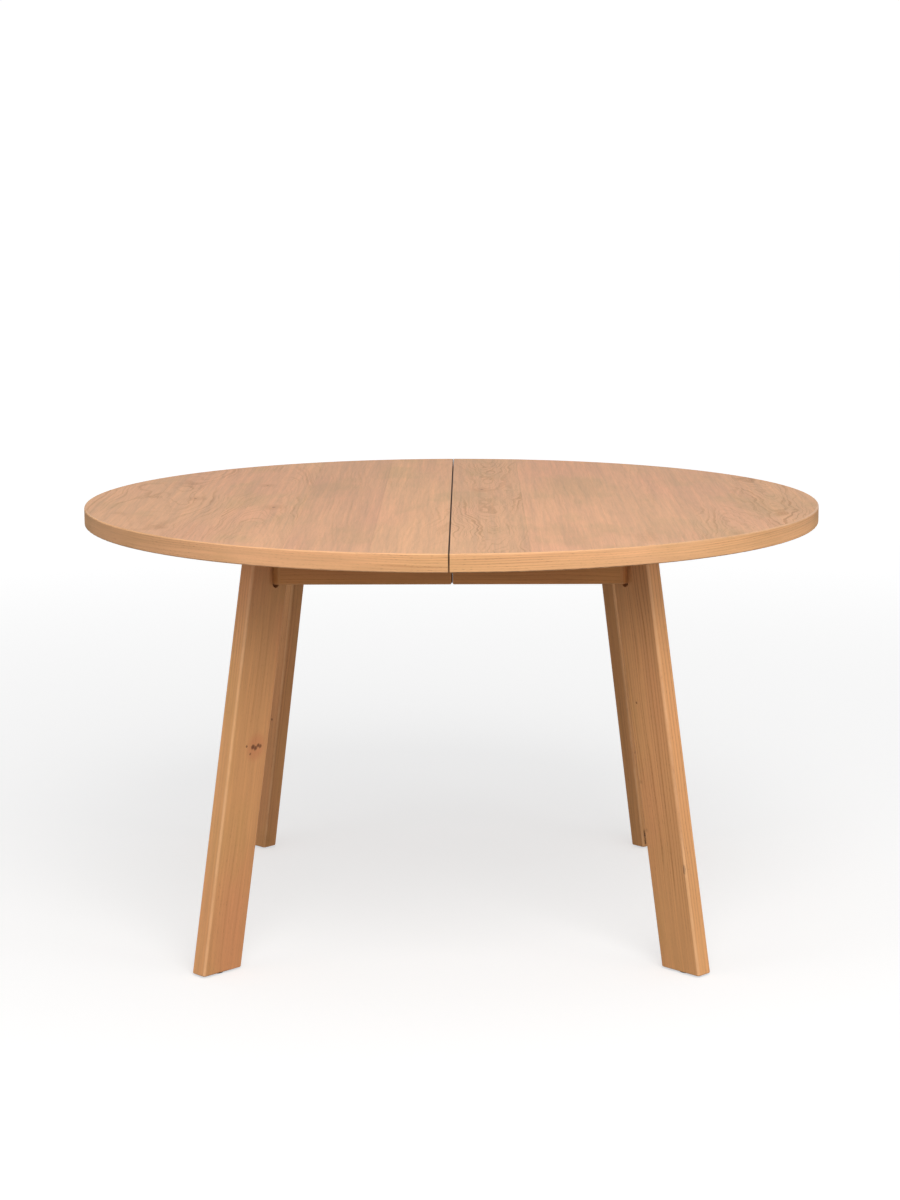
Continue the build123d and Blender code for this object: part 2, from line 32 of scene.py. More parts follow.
# --- the part's own sizes in metres ---------------------------------------------------
FACET_X, FACET_Y = 0.307, 0.322  # middle of a cut-off corner of the frame
LEG_LEAN = 0.128 / 0.715
FOOT_REACH = 0.164
LEG_WIDTH, LEG_THICKNESS = 0.082, 0.032

# --- the studio -----------------------------------------------------------------------
BACKDROP_LIGHT = 1.02
WALL_LIGHT, CEILING_LIGHT = 0.84, 0.28
WALL_END, CEILING_START = 0.15, 0.95  # height of the line of sight, 0 level and 1 straight up
FLOOR_RADIUS = 60.0
FLOOR_LIFT_NEAR, FLOOR_LIFT_FAR = 0.56, 0.80
NEAR_FLOOR, FAR_FLOOR = 0.8, 6.0
AIM = (0.0, -0.2, 0.5)
SIDE_PANEL_X, SIDE_PANEL_Y, SIDE_PANEL_Z = 3.6, -2.3, 0.8
SIDE_PANEL_SIZE = 2.2
SIDE_PANEL_TINT = (1.0, 0.99, 0.97)

# --- camera -----------------------------------------------------------------------
LENS_MM, SENSOR_MM = 76.03, 36.0
SIGHT_LIMIT = 200.0
PITCH, YAW, ROLL = 0.16808, 0.00733, 0.00337
CAMERA_PLACE = (0.02987, -4.49616, 1.32568)


def make_camera():
    """A camera a little above the top, seen from the front, with its small yaw and roll."""
    camera = bpy.data.objects.new("camera", bpy.data.cameras.new("camera"))
    bpy.context.scene.collection.objects.link(camera)
    camera.data.lens = LENS_MM
    camera.data.sensor_width = SENSOR_MM
    camera.data.clip_end = SIGHT_LIMIT
    right = Vector((cos(YAW), sin(YAW), 0))
    ahead = Vector((-sin(YAW), cos(YAW), 0))
    sight = ahead * cos(PITCH) - Vector((0, 0, sin(PITCH)))
    up = ahead * sin(PITCH) + Vector((0, 0, cos(PITCH)))
    rolled_right = right * cos(ROLL) - up * sin(ROLL)
    rolled_up = right * sin(ROLL) + up * cos(ROLL)
    turn = Matrix((rolled_right, rolled_up, -sight)).transposed().to_4x4()
    camera.matrix_world = Matrix.Translation(CAMERA_PLACE) @ turn
    bpy.context.scene.camera = camera


# --- light and floor ----------------------------------------------------------------
def area_light(name, place, aim, size, watts, colour):
    light = bpy.data.lights.new(name, "AREA")
    light.shape = "DISK"
    light.size = size
    light.energy = watts
    light.color = colour
    lamp = bpy.data.objects.new(name, light)
    bpy.context.scene.collection.objects.link(lamp)
    lamp.location = place
    lamp.rotation_mode = "QUATERNION"
    lamp.rotation_quaternion = (Vector(aim) - Vector(place)).to_track_quat("-Z", "Y")


def make_world():
    """A white backdrop. It lights the table like pale walls round a darker ceiling."""
    world = bpy.data.worlds.new("studio")
    world.use_nodes = True
    nodes, links = world.node_tree.nodes, world.node_tree.links
    shown = nodes["Background"]
    shown.inputs["Color"].default_value = (1.0, 1.0, 1.0, 1.0)
    shown.inputs["Strength"].default_value = BACKDROP_LIGHT
    ambient = nodes.new("ShaderNodeBackground")
    ambient.inputs["Color"].default_value = (0.985, 0.99, 1.0, 1.0)
    up = nodes.new("ShaderNodeSeparateXYZ")
    links.new(nodes.new("ShaderNodeTexCoord").outputs["Generated"], up.inputs[0])
    fade = nodes.new("ShaderNodeMapRange")
    fade.interpolation_type = "SMOOTHSTEP"
    links.new(up.outputs["Z"], fade.inputs[0])
    for socket, number in zip(fade.inputs[1:5], (WALL_END, CEILING_START, WALL_LIGHT, CEILING_LIGHT)):
        socket.default_value = number
    links.new(fade.outputs[0], ambient.inputs["Strength"])
    pick = nodes.new("ShaderNodeMixShader")
    links.new(nodes.new("ShaderNodeLightPath").outputs["Is Camera Ray"], pick.inputs[0])
    links.new(ambient.outputs[0], pick.inputs[1])
    links.new(shown.outputs[0], pick.inputs[2])
    links.new(pick.outputs[0], nodes["World Output"].inputs["Surface"])
    bpy.context.scene.world = world


def make_floor():
    """A pale floor that is lifted to the backdrop's white where it is far away."""
    bpy.ops.mesh.primitive_circle_add(vertices=96, radius=FLOOR_RADIUS, fill_type="NGON")
    floor = bpy.context.active_object
    floor.name = "floor"
    g = Graph("pale_floor")
    g.shader.inputs["Base Color"].default_value = (0.24, 0.23, 0.22, 1.0)
    g.shader.inputs["Roughness"].default_value = 0.9
    g.shader.inputs["Specular IOR Level"].default_value = 0.1
    pale = g.node("ShaderNodeBsdfDiffuse")
    pale.inputs["Color"].default_value = (0.50, 0.50, 0.50, 1.0)
    glow = g.node("ShaderNodeEmission")
    x, y, z = g.parts(g.place())
    lift = g.smooth(g.length(x, y), NEAR_FLOOR, FAR_FLOOR, FLOOR_LIFT_NEAR, FLOOR_LIFT_FAR)
    g.put(glow.inputs["Strength"], lift)
    both = g.node("ShaderNodeAddShader")
    g.links.new(pale.outputs[0], both.inputs[0])
    g.links.new(glow.outputs[0], both.inputs[1])
    pick = g.node("ShaderNodeMixShader")
    g.links.new(g.node("ShaderNodeLightPath").outputs["Is Camera Ray"], pick.inputs[0])
    g.links.new(g.shader.outputs[0], pick.inputs[1])
    g.links.new(both.outputs[0], pick.inputs[2])
    g.links.new(pick.outputs[0], g.nodes["Material Output"].inputs["Surface"])
    floor.data.materials.append(g.material)


def make_studio():
    make_world()
    make_floor()
    area_light("key", (0.55, -3.2, 3.4), AIM, 2.9, 98.0, (1.0, 0.985, 0.96))
    for name, side, watts in (("right_panel", 1, 36.0), ("left_panel", -1, 25.0)):
        place = (side * SIDE_PANEL_X, SIDE_PANEL_Y, SIDE_PANEL_Z)
        area_light(name, place, AIM, SIDE_PANEL_SIZE, watts, SIDE_PANEL_TINT)
    area_light("overhead", (0.0, 0.2, 3.2), (0.0, 0.0, 0.7), 3.0, 9.0, (1.0, 1.0, 1.0))
    bpy.context.scene.view_settings.view_transform = "Standard"


# --- node graphs ----------------------------------------------------------------------
def linear(red, green, blue):
    """A colour given as 0 to 255 display values, as scene-linear numbers."""
    shares = (value / 255 for value in (red, green, blue))
    return (*(s / 12.92 if s <= 0.04045 else ((s + 0.055) / 1.055) ** 2.4 for s in shares), 1.0)


class Graph:
    """A material under construction. Each call adds one node and returns its output."""

    def __init__(self, name):
        self.material = bpy.data.materials.new(name)
        self.material.use_nodes = True
        self.nodes = self.material.node_tree.nodes
        self.links = self.material.node_tree.links
        self.shader = self.nodes["Principled BSDF"]

    def node(self, kind, **settings):
        made = self.nodes.new(kind)
        for name, value in settings.items():
            setattr(made, name, value)
        return made

    def put(self, socket, value):
        if isinstance(value, bpy.types.NodeSocket):
            self.links.new(value, socket)
        else:
            socket.default_value = value

    def math(self, operation, *values):
        made = self.node("ShaderNodeMath", operation=operation)
        for socket, value in zip(made.inputs, values):
            self.put(socket, value)
        return made.outputs[0]

    def chain(self, operation, values):
        total = values[0]
        for value in values[1:]:
            total = self.math(operation, total, value)
        return total

    def add(self, *values):
        return self.chain("ADD", values)

    def times(self, *values):
        return self.chain("MULTIPLY", values)

    def most(self, *values):
        return self.chain("MAXIMUM", values)

    def size(self, value):
        return self.math("ABSOLUTE", value)

    def length(self, a, b):
        return self.math("SQRT", self.add(self.times(a, a), self.times(b, b)))

    def combine(self, x, y, z):
        made = self.node("ShaderNodeCombineXYZ")
        for socket, value in zip(made.inputs, (x, y, z)):
            self.put(socket, value)
        return made.outputs[0]

    def parts(self, vector):
        made = self.node("ShaderNodeSeparateXYZ")
        self.put(made.inputs[0], vector)
        return made.outputs

    def dot(self, vector, other):
        made = self.node("ShaderNodeVectorMath", operation="DOT_PRODUCT")
        self.put(made.inputs[0], vector)
        self.put(made.inputs[1], other)
        return made.outputs["Value"]

    def place(self):
        return self.node("ShaderNodeTexCoord").outputs["Object"]

    def noise(self, vector, detail=2.0, roughness=0.5, colour=False):
        made = self.node("ShaderNodeTexNoise")
        self.put(made.inputs["Vector"], vector)
        made.inputs["Scale"].default_value = 1.0
        made.inputs["Detail"].default_value = detail
        made.inputs["Roughness"].default_value = roughness
        return made.outputs["Color" if colour else "Fac"]

    def cells(self, vector):
        """Distance to the nearest of many scattered points, about one to a unit cube."""
        made = self.node("ShaderNodeTexVoronoi")
        self.put(made.inputs["Vector"], vector)
        made.inputs["Scale"].default_value = 1.0
        return made.outputs["Distance"]

    def white(self, value):
        made = self.node("ShaderNodeTexWhiteNoise", noise_dimensions="1D")
        self.put(made.inputs["W"], value)
        return made.outputs["Value"]

    def smooth(self, value, low, high, to_low=0.0, to_high=1.0):
        made = self.node("ShaderNodeMapRange", interpolation_type="SMOOTHSTEP")
        for socket, number in zip(made.inputs, (value, low, high, to_low, to_high)):
            self.put(socket, number)
        return made.outputs[0]

    def mix(self, share, a, b, blend="MIX"):
        made = self.node("ShaderNodeMix", data_type="RGBA", blend_type=blend)
        self.put(made.inputs[0], share)
        self.put(made.inputs[6], a)
        self.put(made.inputs[7], b)
        return made.outputs[2]

    def scale_colour(self, colour, amount):
        return self.mix(1.0, colour, self.combine(amount, amount, amount), "MULTIPLY")

    def steps(self, value, starts, colours):
        """A ramp of flat colours, each from its own start."""
        made = self.node("ShaderNodeValToRGB")
        ramp = made.color_ramp
        ramp.interpolation = "CONSTANT"
        while len(ramp.elements) < len(starts):
            ramp.elements.new(1.0)
        for element, start, colour in zip(ramp.elements, starts, colours):
            element.position = start
            element.color = colour
        self.put(made.inputs[0], value)
        return made.outputs[0]

    def bump(self, height, distance):
        made = self.node("ShaderNodeBump")
        self.put(made.inputs["Height"], height)
        made.inputs["Distance"].default_value = distance
        return made.outputs["Normal"]

    def worn(self, reach):
        """1 on edges that hands and parts rub, 0 on flat faces."""
        bevel = self.node("ShaderNodeBevel", samples=4)
        bevel.inputs["Radius"].default_value = reach
        flat = self.node("ShaderNodeNewGeometry").outputs["Normal"]
        return self.smooth(self.dot(bevel.outputs[0], flat), 0.97, 0.80)

    def stretched(self, u, v, w, across, along, seed=0.0):
        """A place for noise: across cells to a metre across the grain, along cells along it."""
        deep = self.add(self.times(w, across), seed)
        return self.combine(self.times(u, across), self.times(v, along), deep)

    def finish(self, colour, roughness, normal):
        self.put(self.shader.inputs["Base Color"], colour)
        self.put(self.shader.inputs["Roughness"], roughness)
        self.put(self.shader.inputs["Normal"], normal)
        return self.material


# --- timber ---------------------------------------------------------------------------------
# noise cells to a metre, across the grain and along it
SLOW_WANDER, CURL_WANDER, FINE_WANDER = (6.0, 1.7), (22.0, 9.0), (90.0, 8.0)
CLEAR_AREAS, PATCHES = (8.0, 2.4), (11.0, 4.5)
FINE_STREAKS, BROAD_STREAKS = (105.0, 2.6), (32.0, 1.3)
FIBRES, PORE_CELLS = (330.0, 14.0), (820.0, 105.0)


def rings(g, u, v, w, cut, seed):
    """Growth rings of a tree as the surface cuts them. u is across, v along the grain, w into the
    board. Returns the share of porous early wood, a number per ring and a slow noise."""
    slow = g.parts(g.noise(g.stretched(u, v, w, *SLOW_WANDER, seed), 2.0, 0.5, colour=True))
    curl = g.parts(g.noise(g.stretched(u, v, w, *CURL_WANDER, seed + 3.7), 2.0, 0.5, colour=True))
    fine = g.noise(g.stretched(u, v, w, *FINE_WANDER, seed), 2.0, 0.5)
    shift_u, shift_w = (
        g.add(g.times(g.add(slow[i], -0.5), cut["swirl"]), g.times(g.add(curl[i], -0.5), cut["curl"]))
        for i in (0, 1)
    )
    across = g.add(u, shift_u, g.times(cut["pith_u"], -1.0))
    deep = g.add(w, shift_w, cut["pith_w"])
    radius = g.add(g.length(across, deep), g.times(v, cut["taper"]), g.times(g.add(fine, -0.5), 0.0016))
    years = g.noise(g.combine(g.times(radius, 70.0), seed, 0.0), 2.0, 0.7)
    count = g.add(g.math("DIVIDE", radius, cut["spacing"]), g.times(slow[2], 3.0), g.times(years, 3.2))
    share = g.math("FRACT", count)
    early = g.most(g.smooth(share, 0.02, 0.42, 1.0, 0.0), g.smooth(share, 0.90, 1.0))
    return early, g.white(g.add(g.math("FLOOR", count), seed)), slow[2]


def timber(name, axes, cut, tones, seed, finish, extra=None):
    """A wood material. axes gives (u, v, w) for a place, cut gives how the board was sawn, tones are
    late wood, early wood, a warm and a cool patch, and extra adds what only this piece has."""
    g = Graph(name)
    place = g.place()
    u, v, w = axes(g, place)
    board = cut(g, place) if callable(cut) else cut
    early, ring_tone, slow = rings(g, u, v, w, board, seed)
    areas = g.noise(g.stretched(u, v, w, *CLEAR_AREAS, seed + 9.1), 2.0)
    early = g.times(early, g.smooth(areas, 0.42, 0.64, finish["faint"], 1.0), board.get("contrast", 1.0))

    fine_streak = g.add(g.noise(g.stretched(u, v, w, *FINE_STREAKS, seed), 3.0, 0.6), -0.5)
    broad_streak = g.add(g.noise(g.stretched(u, v, w, *BROAD_STREAKS, seed + 1.9), 2.0, 0.5), -0.5)
    streak = g.add(fine_streak, g.times(broad_streak, 0.6))
    fibre = g.add(g.noise(g.stretched(u, v, w, *FIBRES, seed), 3.0, 0.65), -0.5)
    pore = g.smooth(g.cells(g.stretched(u, v, w, *PORE_CELLS, seed)), 0.16, 0.34, 1.0, 0.0)
    pores = g.times(pore, g.add(g.times(early, 0.8), 0.2))
    patch = g.noise(g.stretched(u, v, w, *PATCHES, seed + 5.3), 3.0, 0.5)

    late_colour, early_colour, warm, cool = (linear(*tone) for tone in tones)
    colour = g.mix(g.times(early, g.add(g.times(ring_tone, 0.85), 0.15)), late_colour, early_colour)
    colour = g.mix(g.smooth(slow, 0.42, 0.66, 0.0, finish["patch"]), colour, warm)
    colour = g.mix(g.smooth(patch, 0.48, 0.70, 0.0, finish["patch"]), colour, cool)
    if "tint" in board:
        colour = g.mix(1.0, colour, board["tint"], "MULTIPLY")
    light = g.add(1.0, g.times(streak, finish["streak"]), g.times(fibre, finish["fibre"]))
    colour = g.scale_colour(colour, light)
    colour = g.mix(g.times(pores, finish["pores"]), colour, linear(*finish["pore_tone"]))
    height = g.add(g.times(fibre, 0.5), g.times(pores, -1.0), g.times(early, -0.3))
    rough = g.add(finish["roughness"], g.times(pores, 0.16), g.times(streak, 0.14))
    if extra:
        colour, height, rough = extra(g, place, (u, v, w), colour, height, rough)
    g.shader.inputs["Specular IOR Level"].default_value = finish["specular"]
    return g.finish(colour, rough, g.bump(height, finish["relief"]))


OAK = {
    "faint": 0.20,
    "patch": 0.60,
    "streak": 0.34,
    "fibre": 0.24,
    "pores": 0.45,
    "pore_tone": (112, 70, 40),
    "roughness": 0.46,
    "specular": 0.26,
    "relief": 0.00022,
}
TOP_OAK = {
    **OAK,
    "patch": 0.50,
    "streak": 0.42,
    "fibre": 0.30,
    "roughness": 0.56,
    "specular": 0.18,
}
RIM_OAK = {**OAK, "streak": 0.44}
BEECH = {
    **OAK,
    "faint": 0.5,
    "patch": 0.4,
    "streak": 0.14,
    "fibre": 0.12,
    "pores": 0.22,
    "pore_tone": (150, 98, 62),
    "roughness": 0.62,
    "specular": 0.25,
}
TOP_TONES = ((225, 174, 134), (190, 138, 97), (227, 168, 134), (203, 163, 121))
RIM_TONES = ((228, 174, 124), (192, 134, 87), (232, 173, 128), (210, 160, 110))
LEG_TONES = ((210, 153, 101), (180, 121, 75), (211, 141, 98), (198, 148, 93))
# the rails' and blocks' oak: the wood's own tone, made more saturated than the legs' as painted warm
# shade under the top
RAIL_TONES_SHADED = ((194, 136, 82), (166, 108, 60), (194, 128, 80), (182, 132, 78))
BEECH_TONES = ((222, 184, 144), (206, 164, 124), (226, 178, 144), (212, 180, 138))


def sawn(pith_u, pith_w, taper, swirl, curl, spacing):
    """How one board lies in its log: pith place, ring taper, wander of the rings and ring spacing."""
    return {
        "pith_u": pith_u,
        "pith_w": pith_w,
        "taper": taper,
        "swirl": swirl,
        "curl": curl,
        "spacing": spacing,
    }


# --- the top: boards side by side, each with its own cut and tint -----------------------------
TOP_RING_SPACING = 0.0070
# left edge, pith from the left edge, pith depth, taper, swirl, curl, ring contrast, tint
TOP_BOARDS = (
    (-0.650, 0.10, 0.060, 0.030, 0.050, 0.010, 0.70, (1.00, 0.99, 0.98)),
    (-0.530, 0.02, 0.075, -0.045, 0.070, 0.020, 0.80, (0.99, 0.98, 0.97)),
    (-0.395, 0.07, 0.030, 0.075, 0.070, 0.018, 1.00, (1.01, 1.00, 0.98)),
    (-0.261, 0.24, 0.110, -0.030, 0.030, 0.008, 0.35, (0.96, 0.93, 0.94)),
    (-0.124, 0.12, 0.040, 0.045, 0.035, 0.012, 0.55, (1.03, 1.02, 0.99)),
    (0.000, 0.07, 0.025, -0.070, 0.090, 0.040, 0.80, (0.98, 0.98, 0.97)),
    (0.126, -0.12, 0.160, 0.012, 0.020, 0.003, 0.22, (1.03, 1.00, 1.00)),
    (0.262, 0.02, 0.170, -0.030, 0.040, 0.012, 0.30, (1.00, 0.985, 0.99)),
    (0.400, 0.09, 0.050, 0.045, 0.080, 0.030, 0.75, (0.97, 0.98, 0.98)),
    (0.530, 0.03, 0.040, -0.055, 0.080, 0.028, 0.85, (0.98, 0.98, 0.97)),
)


def top_axes(g, place):
    x, y, z = g.parts(place)
    return x, y, g.add(z, -TOP_Z)


def top_cut(g, place):
    """Looks up the board under a point. Ramp colours hold the numbers, shifted to stay above 0."""
    x = g.parts(place)[0]
    share = g.math("DIVIDE", g.add(x, TOP_R), 2 * TOP_R)
    starts = [(left + TOP_R) / (2 * TOP_R) for left, *_ in TOP_BOARDS]
    piths = [(left + pith + 1, depth, taper + 0.5, 1.0) for left, pith, depth, taper, *_ in TOP_BOARDS]
    wanders = [(swirl, curl, contrast, 1.0) for *_, swirl, curl, contrast, _ in TOP_BOARDS]
    pith = g.parts(g.steps(share, starts, piths))
    wander = g.parts(g.steps(share, starts, wanders))
    taper = g.add(pith[2], -0.5)
    found = sawn(g.add(pith[0], -1.0), pith[1], taper, wander[0], wander[1], TOP_RING_SPACING)
    found["contrast"] = wander[2]
    found["tint"] = g.steps(share, starts, [(*tint, 1.0) for *_, tint in TOP_BOARDS])
    return found


# x, y and radius of small knots in the top
TOP_KNOTS = ((-0.31, -0.10, 0.006), (-0.46, 0.02, 0.005), (-0.345, 0.21, 0.004), (0.055, 0.14, 0.005))


def spot(g, du, dv, radius, soft=1.6):
    """1 within radius of a point, fading to 0 at soft times the radius."""
    return g.smooth(g.length(du, dv), radius * 0.6, radius * soft, 1.0, 0.0)


SEAM_SHADE_FULL, SEAM_SHADE_GONE = 0.0011, 0.0017  # distance from the middle of the seam


def painted_seam_shade(g, x, colour):
    """Painted shade: the two faces at the seam and their arrises, darkened as if the closed seam lay in
    shadow.
    """
    return g.mix(g.smooth(g.size(x), SEAM_SHADE_FULL, SEAM_SHADE_GONE, 0.85, 0.0), colour, linear(56, 35, 22))


def top_extra(g, place, axes, colour, height, rough):
    """Small knots, a thin dark line where two boards meet, and painted shade at the seam of the halves.
    """
    x, y, z = g.parts(place)
    for knot_x, knot_y, radius in TOP_KNOTS:
        du, dv = g.add(x, -knot_x), g.times(g.add(y, -knot_y), 0.6)
        colour = g.mix(g.times(spot(g, du, dv, radius * 2.2, 2.4), 0.26), colour, linear(178, 120, 82))
        colour = g.mix(g.times(spot(g, du, dv, radius * 0.45), 0.65), colour, linear(122, 74, 48))
    nearest = 1.0
    for left, *_ in TOP_BOARDS[1:]:
        if left:
            nearest = g.math("MINIMUM", nearest, g.size(g.add(x, -left)))
    joint = g.smooth(nearest, 0.0001, 0.0006, 1.0, 0.0)
    colour = g.mix(g.times(joint, 0.22), colour, linear(160, 112, 76))
    # painted shade on the seam faces between the halves
    return painted_seam_shade(g, x, colour), g.add(height, g.times(joint, -0.8)), rough


RIM_APART = 3.0


def rim_axes(g, place):
    """Grain along the edge: the angle about the table's middle, from the front, times the radius,
    with each half moved away from the other so that their figures differ."""
    x, y, z = g.parts(place)
    angle = g.math("ARCTAN2", x, g.times(y, -1.0))
    apart = g.times(g.math("SIGN", x), RIM_APART)
    return g.add(z, -UNDERSIDE), g.add(g.times(angle, TOP_R), apart), 0.0


def rubbed_and_highlit(g, mask, colour, height, rough, share=0.30, tone=(244, 196, 150)):
    """Edges that are rubbed lighter and smoother, unevenly; the lighter tone is partly a painted
    highlight.
    """
    blotches = g.noise(g.stretched(*g.parts(g.place()), 30.0, 30.0), 3.0)
    uneven = g.smooth(blotches, 0.30, 0.65, 0.55, 1.0)
    mask = g.times(mask, uneven)
    colour = g.mix(g.times(mask, share), colour, linear(*tone))
    return colour, height, g.add(rough, g.times(mask, -0.08))


def rim_extra(g, place, axes, colour, height, rough):
    """Rubbed upper and lower edges, lighter partly as a painted highlight; painted shade on a left half
    that darkens from the front to the far left and stays so round the back; and painted shade at the
    seam."""
    x, y, z = g.parts(place)
    low = g.smooth(z, UNDERSIDE + 0.0008, UNDERSIDE + 0.003, 1.0, 0.0)
    high = g.smooth(z, TOP_Z - 0.0026, TOP_Z - 0.0008)
    angle = g.math("DIVIDE", axes[1], TOP_R)
    # painted shade: the left half of the rim up to 14% darker towards the far left and round the back
    colour = g.scale_colour(colour, g.smooth(angle, -6.2, -4.6, 0.86, 1.0))
    colour, height, rough = rubbed_and_highlit(g, g.most(low, high), colour, height, rough)
    # painted shade on the seam faces between the halves
    return painted_seam_shade(g, x, colour), height, rough


# --- legs ---------------------------------------------------------------------------------------
class LegFrame:
    """Directions and faces of the leg that stands to one side (+1 right) and end (+1 back)."""

    def __init__(self, side, end):
        out = Vector((side, end, 0)) / sqrt(2)
        facet = Vector((side * FACET_X, end * FACET_Y, 0))
        self.along = (out * -LEG_LEAN + Vector((0, 0, 1))).normalized()
        self.across = (out + Vector((0, 0, LEG_LEAN))).normalized()
        self.flat = Vector((-end, side, 0)) / sqrt(2)
        self.outer = self.across.dot(facet + out * FOOT_REACH)
        self.middle = self.flat.dot(facet)
        self.seen = -side

    def axes(self, g, place):
        return g.dot(place, self.across), g.dot(place, self.along), g.dot(place, self.flat)


# distance in from the outer face, height, radius, darkness: marks on the face towards the front
LEG_MARKS = {
    "left_front": (
        (0.047, 0.377, 0.0032, 0.80),
        (0.053, 0.374, 0.0028, 0.75),
        (0.058, 0.378, 0.0025, 0.75),
        (0.063, 0.376, 0.0025, 0.70),
        (0.033, 0.380, 0.0017, 0.75),
        (0.043, 0.366, 0.0017, 0.60),
    ),
    "right_front": (
        (0.062, 0.447, 0.0015, 0.70),
        (0.074, 0.313, 0.0024, 0.22),
        (0.075, 0.232, 0.0028, 0.22),
    ),
    "left_back": ((0.064, 0.268, 0.0020, 0.60),),
    "right_back": ((0.074, 0.200, 0.0022, 0.30),),
}
# the same two distances, then radius for the halo, half length for the crack, and both for the nick
HALO = (0.053, 0.376, 0.016)
CRACK = (0.074, 0.024, 0.018)
NICK = (0.0030, 0.180, 0.0020, 0.008)
# painted light and shade: the narrow faces lighter on the front legs and darker on the back legs,
# standing in for how the light falls
NARROW_FRONT_PAINTED_LIGHT, NARROW_BACK_PAINTED_SHADE = 1.14, 0.94  # tone of a leg's narrow faces beside its wide ones


def leg_extra(name, leg):
    """Knots, a crack and a nick where this leg has them, painted light and shade on the narrow faces,
    and edges rubbed lighter, partly as a painted highlight.
    """

    def extra(g, place, axes, colour, height, rough):
        u, v, w = axes
        inward = g.add(leg.outer, g.times(u, -1.0))
        z = g.parts(place)[2]
        side = g.add(w, -leg.middle)
        facing = g.smooth(g.times(side, leg.seen), 0.002, 0.010)
        if name == "left_front":
            reach = spot(g, g.add(inward, -HALO[0]), g.times(g.add(z, -HALO[1]), 0.8), HALO[2], 1.5)
            colour = g.mix(g.times(reach, facing, 0.34), colour, linear(196, 112, 78))
        wobble = g.times(g.add(g.noise(g.stretched(u, v, w, 300.0, 300.0), 2.0), -0.5), 0.003)
        for inset, up, radius, dark in LEG_MARKS[name]:
            du, dv = g.add(inward, -inset, wobble), g.times(g.add(z, -up, wobble), 0.9)
            mark = g.times(spot(g, du, dv, radius), facing)
            colour = g.mix(g.times(mark, dark), colour, linear(84, 42, 27))
            height = g.add(height, g.times(mark, -0.8))
        if name == "right_back":
            gap = g.size(g.add(inward, -CRACK[0], g.times(wobble, 2.0)))
            long = g.smooth(g.size(g.add(z, -CRACK[1])), CRACK[2] * 0.7, CRACK[2], 1.0, 0.0)
            crack = g.times(g.smooth(gap, 0.0006, 0.0024, 1.0, 0.0), long)
            colour = g.mix(g.times(crack, facing, 0.85), colour, linear(52, 32, 20))
            height = g.add(height, g.times(crack, facing, -3.0))
        if name == "right_front":
            inset, up, radius, half = NICK
            dv = g.times(g.add(z, -up), radius / half)
            du = g.add(inward, -inset, g.times(wobble, 1.5))
            nick = g.times(spot(g, du, dv, radius, 1.3), facing)
            colour = g.mix(g.times(nick, 0.70), colour, linear(104, 64, 38))
            height = g.add(height, g.times(nick, -0.6))
        to_side = g.add(LEG_THICKNESS / 2, g.times(g.size(side), -1.0))
        to_face = g.math("MINIMUM", g.size(inward), g.size(g.add(inward, -LEG_WIDTH)))
        # painted light and shade on the leg's narrow faces: lighter on a front leg, darker on a back leg
        narrow = NARROW_FRONT_PAINTED_LIGHT if "front" in name else NARROW_BACK_PAINTED_SHADE
        colour = g.scale_colour(colour, g.smooth(to_face, 0.002, 0.004, narrow, 1.0))
        # lighter rounded edges: rubbed wear and a painted highlight
        edge = g.smooth(g.most(to_side, to_face), 0.0015, 0.0055, 1.0, 0.0)
        return rubbed_and_highlit(g, edge, colour, height, rough, 0.38)

    return extra


# --- rails and blocks ------------------------------------------------------------------------------
def rail_extra(g, place, axes, colour, height, rough):
    z = g.parts(place)[2]
    # the rail's lower arris made lighter: rubbed wear and a painted highlight
    edge = g.smooth(z, FRAME_LOW + 0.0008, FRAME_LOW + 0.0028, 1.0, 0.0)
    return rubbed_and_highlit(g, edge, colour, height, rough, 0.25)


def axes_along(order):
    """Picks (u, v, w) from (x, y, z) by letter, v along the grain."""

    def axes(g, place):
        xyz = dict(zip("xyz", g.parts(place)))
        return tuple(xyz[letter] for letter in order)

    return axes


# --- metals, plastics and felt -----------------------------------------------------------------------
def metal(name, tone, dull_tone, roughness, brushing, seed, metallic=1.0, orange_peel=0.0):
    """Plated, turned or coated metal with brushing, dull patches, scratches and rubbed edges.
    brushing is (cells to a metre along x, y, z): few cells make long lines."""
    g = Graph(name)
    x, y, z = g.parts(g.place())
    brushed = g.combine(*(g.times(axis, cells) for axis, cells in zip((x, y, z), brushing)))
    lines = g.noise(brushed, 3.0, 0.6)
    dull = g.smooth(g.noise(g.stretched(x, y, z, 55.0, 55.0, seed), 4.0, 0.6), 0.42, 0.68)
    grit = g.noise(g.stretched(x, y, z, 1400.0, 1400.0, seed), 2.0, 0.6)
    worn = g.worn(0.0007)
    colour = g.mix(g.times(dull, 0.7), linear(*tone), linear(*dull_tone))
    colour = g.scale_colour(colour, g.add(0.88, g.times(lines, 0.24)))
    bright = linear(*(min(255, int(part * 1.12) + 24) for part in tone))
    colour = g.mix(g.times(worn, 0.45), colour, bright)
    uneven = g.times(g.add(lines, -0.5), 0.20)
    rough = g.add(roughness, g.times(dull, 0.16), uneven, g.times(worn, -0.10))
    height = g.add(g.times(lines, 1.0), g.times(grit, 0.3 + orange_peel))
    g.shader.inputs["Metallic"].default_value = metallic
    return g.finish(colour, rough, g.bump(height, 0.00005 + 0.0001 * orange_peel))


